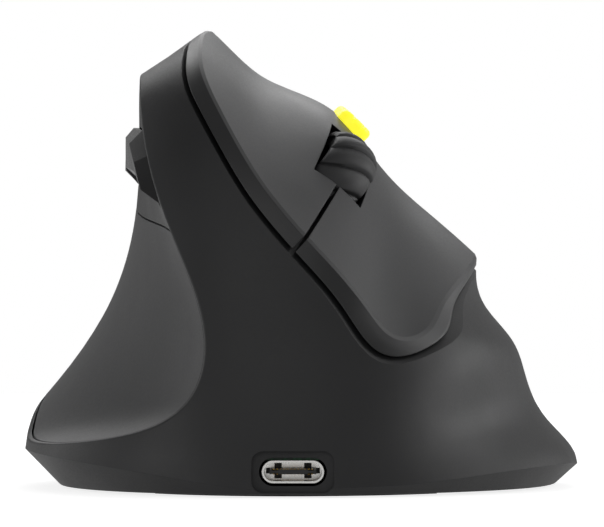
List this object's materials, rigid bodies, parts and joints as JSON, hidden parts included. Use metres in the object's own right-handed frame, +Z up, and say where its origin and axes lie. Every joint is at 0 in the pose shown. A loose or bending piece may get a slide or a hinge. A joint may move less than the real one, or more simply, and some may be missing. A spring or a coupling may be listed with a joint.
{
  "type": "ergonomic mouse",
  "caption": "Left-handed vertical mouse with split click plates, a scroll wheel that also presses, a resolution button, thumb keys and a USB-C charging port.",
  "frame": {"origin": "on the desk under the middle of the mouse", "axes": "+X towards the fingers' side, -Y towards the nose with the port, +Z up"},
  "size_m": [0.0836, 0.1087, 0.0687],
  "materials": {
    "shell_black": "fine matt spark texture, near black",
    "button_black": "satin soft-touch, dark grey",
    "grip_rubber": "matt soft rubber",
    "key_gloss": "polished black",
    "neon_yellow": "bright neon yellow",
    "wheel_rubber": "satin black rubber",
    "inner_plastic": "matt moulded",
    "circuit_green": "solder mask",
    "chip_black": "epoxy",
    "port_steel": "nickel-plated shell",
    "plunger_white": "white acetal",
    "screw_steel": "zinc-plated",
    "cell_blue": "wrapped cell",
    "pad_foam": "foam tape",
    "foot_slick": "low-friction foot",
    "lens_clear": "clear moulded lens"
  },
  "bodies": {
    "body": {"main_shell": "shell_black", "thumb_grip": "grip_rubber", "palm_cover": "button_black", "bottom_plate": "shell_black", "front_foot": "foot_slick", "rear_foot": "foot_slick", "main_board": "circuit_green", "board_screw_1": "screw_steel", "board_screw_2": "screw_steel", "board_screw_3": "screw_steel", "board_screw_4": "screw_steel", "case_screw_1": "screw_steel", "case_screw_2": "screw_steel", "case_screw_3": "screw_steel", "case_screw_4": "screw_steel", "sensor_chip": "chip_black", "sensor_lens": "lens_clear", "controller_chip": "chip_black", "usb_c_shell": "port_steel", "usb_c_tongue": "chip_black", "battery": "cell_blue", "battery_pad": "pad_foam", "power_switch_body": "chip_black", "inner_frame": "inner_plastic", "button_board": "circuit_green", "upper_switch": "chip_black", "lower_switch": "chip_black", "middle_switch": "chip_black", "dpi_switch": "chip_black", "front_side_switch": "chip_black", "rear_side_switch": "chip_black", "side_board": "circuit_green", "upper_pivot_bracket": "inner_plastic", "lower_pivot_bracket": "inner_plastic"},
    "upper_key": {"upper_button": "button_black"},
    "lower_key": {"lower_button": "button_black"},
    "cradle": {"wheel_cradle": "inner_plastic"},
    "wheel": {"wheel_tyre": "wheel_rubber", "wheel_hub": "inner_plastic", "wheel_axle": "screw_steel"},
    "dpi_key": {"dpi_button": "neon_yellow"},
    "front_thumb_key": {"front_side_button": "key_gloss"},
    "rear_thumb_key": {"rear_side_button": "key_gloss"},
    "power_knob": {"power_switch_knob": "inner_plastic"},
    "upper_switch_plunger": {"upper_plunger": "plunger_white"},
    "lower_switch_plunger": {"lower_plunger": "plunger_white"},
    "middle_switch_plunger": {"middle_plunger": "plunger_white"},
    "dpi_switch_plunger": {"dpi_plunger": "plunger_white"},
    "front_side_switch_plunger": {"front_side_plunger": "plunger_white"},
    "rear_side_switch_plunger": {"rear_side_plunger": "plunger_white"}
  },
  "joints": [
    {"name": "upper_click", "type": "hinge", "parent": "body", "child": "upper_key", "pos_m": [-0.00803, 0.00113, 0.05951], "axis": [0.6964, 0.1736, -0.6964], "range_deg": [0, 0.5], "stiffness_Nm_per_rad": 1, "springref_deg": -1.72},
    {"name": "lower_click", "type": "hinge", "parent": "body", "child": "lower_key", "pos_m": [0.01374, 0.006, 0.04227], "axis": [0.6964, 0.1736, -0.6964], "range_deg": [0, 0.5], "stiffness_Nm_per_rad": 1, "springref_deg": -1.72},
    {"name": "wheel_press", "type": "hinge", "parent": "body", "child": "cradle", "pos_m": [-0.00002, -0.00628, 0.04556], "axis": [0.6964, 0.1736, -0.6964], "range_deg": [0, 1.2], "stiffness_Nm_per_rad": 1, "springref_deg": -1.72},
    {"name": "wheel_spin", "type": "hinge", "parent": "cradle", "child": "wheel", "pos_m": [0.0017, -0.02007, 0.04384], "axis": [0.6964, 0.1736, -0.6964], "continuous": true},
    {"name": "dpi_press", "type": "slide", "parent": "body", "child": "dpi_key", "axis": [-0.7071, 0, -0.7071], "range_m": [0, 0.0007], "stiffness_N_per_m": 500, "springref_m": -0.001},
    {"name": "front_thumb_press", "type": "slide", "parent": "body", "child": "front_thumb_key", "axis": [1, 0, 0], "range_m": [0, 0.0006], "stiffness_N_per_m": 500, "springref_m": -0.001},
    {"name": "rear_thumb_press", "type": "slide", "parent": "body", "child": "rear_thumb_key", "axis": [1, 0, 0], "range_m": [0, 0.0006], "stiffness_N_per_m": 500, "springref_m": -0.001},
    {"name": "power_slide", "type": "slide", "parent": "body", "child": "power_knob", "axis": [0, 1, 0], "range_m": [0, 0.0026]},
    {"name": "upper_plunger_slide", "type": "slide", "parent": "body", "child": "upper_switch_plunger", "axis": [-0.7071, 0, -0.7071], "range_m": [0, 0.0003]},
    {"name": "lower_plunger_slide", "type": "slide", "parent": "body", "child": "lower_switch_plunger", "axis": [-0.7071, 0, -0.7071], "range_m": [0, 0.0003]},
    {"name": "middle_plunger_slide", "type": "slide", "parent": "body", "child": "middle_switch_plunger", "axis": [-0.7071, 0, -0.7071], "range_m": [0, 0.0006]},
    {"name": "dpi_plunger_slide", "type": "slide", "parent": "body", "child": "dpi_switch_plunger", "axis": [-0.7071, 0, -0.7071], "range_m": [0, 0.0007]},
    {"name": "front_side_plunger_slide", "type": "slide", "parent": "body", "child": "front_side_switch_plunger", "axis": [1, 0, 0], "range_m": [0, 0.0006]},
    {"name": "rear_side_plunger_slide", "type": "slide", "parent": "body", "child": "rear_side_switch_plunger", "axis": [1, 0, 0], "range_m": [0, 0.0006]}
  ],
  "couplings": [
    {"joint": "upper_plunger_slide", "follows": "upper_click", "m_per_rad": 0.031},
    {"joint": "lower_plunger_slide", "follows": "lower_click", "m_per_rad": 0.031},
    {"joint": "middle_plunger_slide", "follows": "wheel_press", "m_per_rad": 0.0282},
    {"joint": "dpi_plunger_slide", "follows": "dpi_press", "ratio": 1},
    {"joint": "front_side_plunger_slide", "follows": "front_thumb_press", "ratio": 1},
    {"joint": "rear_side_plunger_slide", "follows": "rear_thumb_press", "ratio": 1}
  ]
}
